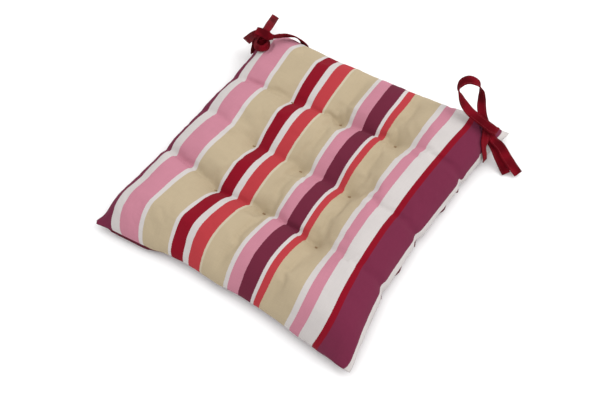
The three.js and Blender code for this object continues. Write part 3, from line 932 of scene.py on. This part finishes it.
def tape_material(name="red_cotton_tape", rgb=(108, 11, 24)):
    m, nt, bsdf = material(name)
    uv = node(nt, "ShaderNodeUVMap", uv_map="cloth")
    place = node(nt, "ShaderNodeTexCoord").outputs["Object"]
    split = node(nt, "ShaderNodeSeparateXYZ")
    nt.links.new(uv.outputs[0], split.inputs[0])
    pitch = 2 * math.pi / 0.0008
    a = math_node(nt, "SINE", math_node(nt, "MULTIPLY", split.outputs[0], pitch))
    b = math_node(nt, "SINE", math_node(nt, "MULTIPLY", split.outputs[1], pitch))
    weave = math_node(nt, "MULTIPLY", a, b)
    fuzz = noise(nt, place, 1500.0, 2.0)
    mottle = noise(nt, place, 70.0, 3.0)
    tone = math_node(nt, "MULTIPLY", map_range(nt, weave, -1, 1, 0.90, 1.06), map_range(nt, mottle, 0.3, 0.7, 0.92, 1.06))
    tone = math_node(nt, "MULTIPLY", tone, map_range(nt, fuzz, 0.3, 0.7, 0.95, 1.05))
    # painted shade and light: the tape's colour goes darker and lighter in random patches along its length, in place
    # of the shade in its folds
    tone = math_node(nt, "MULTIPLY", tone, map_range(nt, noise(nt, place, 44.0, 1.0), 0.36, 0.62, 0.55, 1.14))
    grey = node(nt, "ShaderNodeCombineColor")
    for i in range(3):
        nt.links.new(tone, grey.inputs[i])
    colour = mix_colour(nt, 1.0, (*linear(rgb), 1), grey.outputs[0], "MULTIPLY")
    nt.links.new(colour, bsdf.inputs["Base Color"])
    nt.links.new(map_range(nt, fuzz, 0.3, 0.7, 0.82, 0.95), bsdf.inputs["Roughness"])
    bsdf.inputs["Specular IOR Level"].default_value = 0.03
    bsdf.inputs["Sheen Weight"].default_value = 0.02
    bsdf.inputs["Sheen Roughness"].default_value = 0.5
    height = math_node(nt, "ADD", math_node(nt, "MULTIPLY", weave, 0.5), fuzz)
    bp = node(nt, "ShaderNodeBump")
    bp.inputs["Strength"].default_value = 0.4
    bp.inputs["Distance"].default_value = 0.00025
    nt.links.new(height, bp.inputs["Height"])
    nt.links.new(bp.outputs[0], bsdf.inputs["Normal"])
    return m


def thread_material(name, rgb):
    m, nt, bsdf = material(name)
    place = node(nt, "ShaderNodeTexCoord").outputs["Object"]
    twist = node(nt, "ShaderNodeTexWave", wave_type="BANDS", bands_direction="DIAGONAL")
    twist.inputs["Scale"].default_value = 900.0
    twist.inputs["Distortion"].default_value = 1.5
    nt.links.new(place, twist.inputs["Vector"])
    tone = map_range(nt, twist.outputs["Fac"], 0, 1, 0.8, 1.1)
    grey = node(nt, "ShaderNodeCombineColor")
    for i in range(3):
        nt.links.new(tone, grey.inputs[i])
    colour = mix_colour(nt, 1.0, (*linear(rgb), 1), grey.outputs[0], "MULTIPLY")
    nt.links.new(colour, bsdf.inputs["Base Color"])
    nt.links.new(map_range(nt, twist.outputs["Fac"], 0, 1, 0.6, 0.8), bsdf.inputs["Roughness"])
    bp = node(nt, "ShaderNodeBump")
    bp.inputs["Strength"].default_value = 0.5
    bp.inputs["Distance"].default_value = 0.0002
    nt.links.new(twist.outputs["Fac"], bp.inputs["Height"])
    nt.links.new(bp.outputs[0], bsdf.inputs["Normal"])
    return m


def thread_run(points, radius, sides=8):
    """One closed thread through the given points, in mm."""
    P = [np.array(p, float) for p in points]
    verts, faces = [], []
    n = len(P)
    for i, p in enumerate(P):
        t = P[min(n - 1, i + 1)] - P[max(0, i - 1)]
        t = t / max(1e-9, np.linalg.norm(t))
        ref = np.array((0, 0, 1.0)) if abs(t[2]) < 0.9 else np.array((1.0, 0, 0))
        a = np.cross(t, ref); a /= np.linalg.norm(a)
        b = np.cross(t, a)
        r = radius * (0.45 if i in (0, n - 1) else 1.0)
        for k in range(sides):
            g = 2 * math.pi * k / sides
            verts.append(p + r * (a * math.cos(g) + b * math.sin(g)))
    for i in range(n - 1):
        for k in range(sides):
            k2 = (k + 1) % sides
            faces.append((i * sides + k, i * sides + k2, (i + 1) * sides + k2, (i + 1) * sides + k))
    faces.append(tuple(reversed(range(sides))))
    faces.append(tuple((n - 1) * sides + k for k in range(sides)))
    return verts, faces


def tuft_tacks(pad):
    """The stitches that tie each tuft through: a short bar of thread, bound round, in the bottom of its dimple."""
    from mathutils.bvhtree import BVHTree
    me = pad.data
    tree = BVHTree.FromPolygons([v.co for v in me.vertices], [p.vertices for p in me.polygons])
    verts, faces = [], []
    rs = np.random.RandomState(5)

    def add(points, radius):
        vv, ff = thread_run(points, radius)
        base = len(verts)
        verts.extend(vv)
        faces.extend([tuple(base + i for i in f) for f in ff])

    for tx, ty in TUFTS:
        turn = rs.uniform(-0.5, 0.5)
        d = np.array((math.cos(turn), math.sin(turn), 0))
        e = np.array((-d[1], d[0], 0))
        for face in (1, -1):
            def foot(x, y):
                hit = tree.ray_cast(Vector((x * MM, y * MM, 0.1 * face)), Vector((0, 0, -face)))
                return (hit[0].z / MM) if hit[0] is not None else SEAM_HEIGHT
            c = np.array((tx, ty, foot(tx, ty)))
            for o in (-0.45, 0.45):
                pts = []
                for k in np.linspace(-1, 1, 7):
                    q = c + d * 2.3 * k + e * (o + 0.12 * math.sin(3 * k))
                    q[2] = foot(q[0], q[1]) + face * (0.32 if abs(k) < 0.9 else -0.35)
                    pts.append(q)
                add(pts, 0.42)
            for k in (-1.3, -0.5, 0.35, 1.2):
                pts = []
                for g in np.linspace(-1, 1, 7):
                    q = c + d * (k + 0.15 * g) + e * 1.15 * g
                    q[2] = foot(q[0], q[1]) + face * (0.95 * (1 - g * g) - 0.15)
                    pts.append(q)
                add(pts, 0.34)
    return new_object("tuft_tacks", verts, faces)


# ---------------------------------------------------------------- build
pad = build_pad()
pad.data.materials.append(cotton_cloth("striped_cotton"))
pad.data.materials.append(cotton_cloth("plain_cotton", "maroon"))
pad.data.polygons.foreach_set("material_index", np.repeat([0, 1], PAD_GRID ** 2).astype(np.int32))
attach(pad, "root")
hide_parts("cushion")

tacks = tuft_tacks(pad)
tacks.data.materials.append(thread_material("tuft_thread", (148, 118, 84)))
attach(tacks, "root")

tape = tape_material()
laid = []
for seed, (name, rows) in enumerate(STRAPS.items()):
    ob, path = strap(name + "_tape", rows, seed)
    ob.data.materials.append(tape)
    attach(ob, "root")
    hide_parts(name)
    laid.append(path)
for seed, (name, rows, wide) in enumerate((("tie_left_wrap", WRAP, 0.012), ("tie_left_fold", CORE, 0.010))):
    ob, path = strap(name, rows, seed + 7)
    ob.data.materials.append(tape)
    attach(ob, "root")
thread = stitches("tie_stitches", laid)
thread.data.materials.append(thread_material("red_thread", (132, 22, 38)))
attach(thread, "root")

# ---------------------------------------------------------------- floor and light
floor = new_object("floor", [(-4000, -4000, 0), (4000, -4000, 0), (4000, 4000, 0), (-4000, 4000, 0)], [(0, 1, 2, 3)], smooth=False)
fm, fnt, fb = material("floor_paper")
fplace = node(fnt, "ShaderNodeTexCoord").outputs["Object"]
fn = noise(fnt, fplace, 3.0, 2.0)
fc = mix_colour(fnt, fn, (0.93, 0.93, 0.93, 1), (0.96, 0.96, 0.96, 1))
fnt.links.new(fc, fb.inputs["Base Color"])
fb.inputs["Roughness"].default_value = 0.95
fb.inputs["Specular IOR Level"].default_value = 0.0
floor.data.materials.append(fm)

world = bpy.data.worlds.new("studio")
scene.world = world
world.use_nodes = True
wt = world.node_tree
bg = wt.nodes["Background"]
bg.inputs[0].default_value = (1.0, 1.0, 1.0, 1)
# a wide soft box overhead and a little behind: less light from the sides, least from the front
sky = wt.nodes.new("ShaderNodeSeparateXYZ")
wt.links.new(wt.nodes.new("ShaderNodeTexCoord").outputs["Generated"], sky.inputs[0])
lit = map_range(wt, sky.outputs[2], 0.0, 1.0, 0.66, 1.36)
lit = math_node(wt, "MULTIPLY_ADD", sky.outputs[1], 0.16, lit)
wt.links.new(math_node(wt, "MULTIPLY_ADD", sky.outputs[0], 0.05, lit), bg.inputs[1])


def area_light(name, at, look, size, watts):
    data = bpy.data.lights.new(name, "AREA")
    data.shape = "SQUARE"
    data.size = size
    data.energy = watts
    ob = bpy.data.objects.new(name, data)
    scene.collection.objects.link(ob)
    ob.location = at
    ob.rotation_euler = (Vector(look) - Vector(at)).to_track_quat("-Z", "Y").to_euler()
    return ob


area_light("key", (1.5, 0.9, 1.9), (0, 0, 0), 1.6, 20.0)
scene.view_settings.view_transform = "Standard"
scene.view_settings.look = "None"
scene.view_settings.exposure = 0.0
scene.view_settings.gamma = 1.0
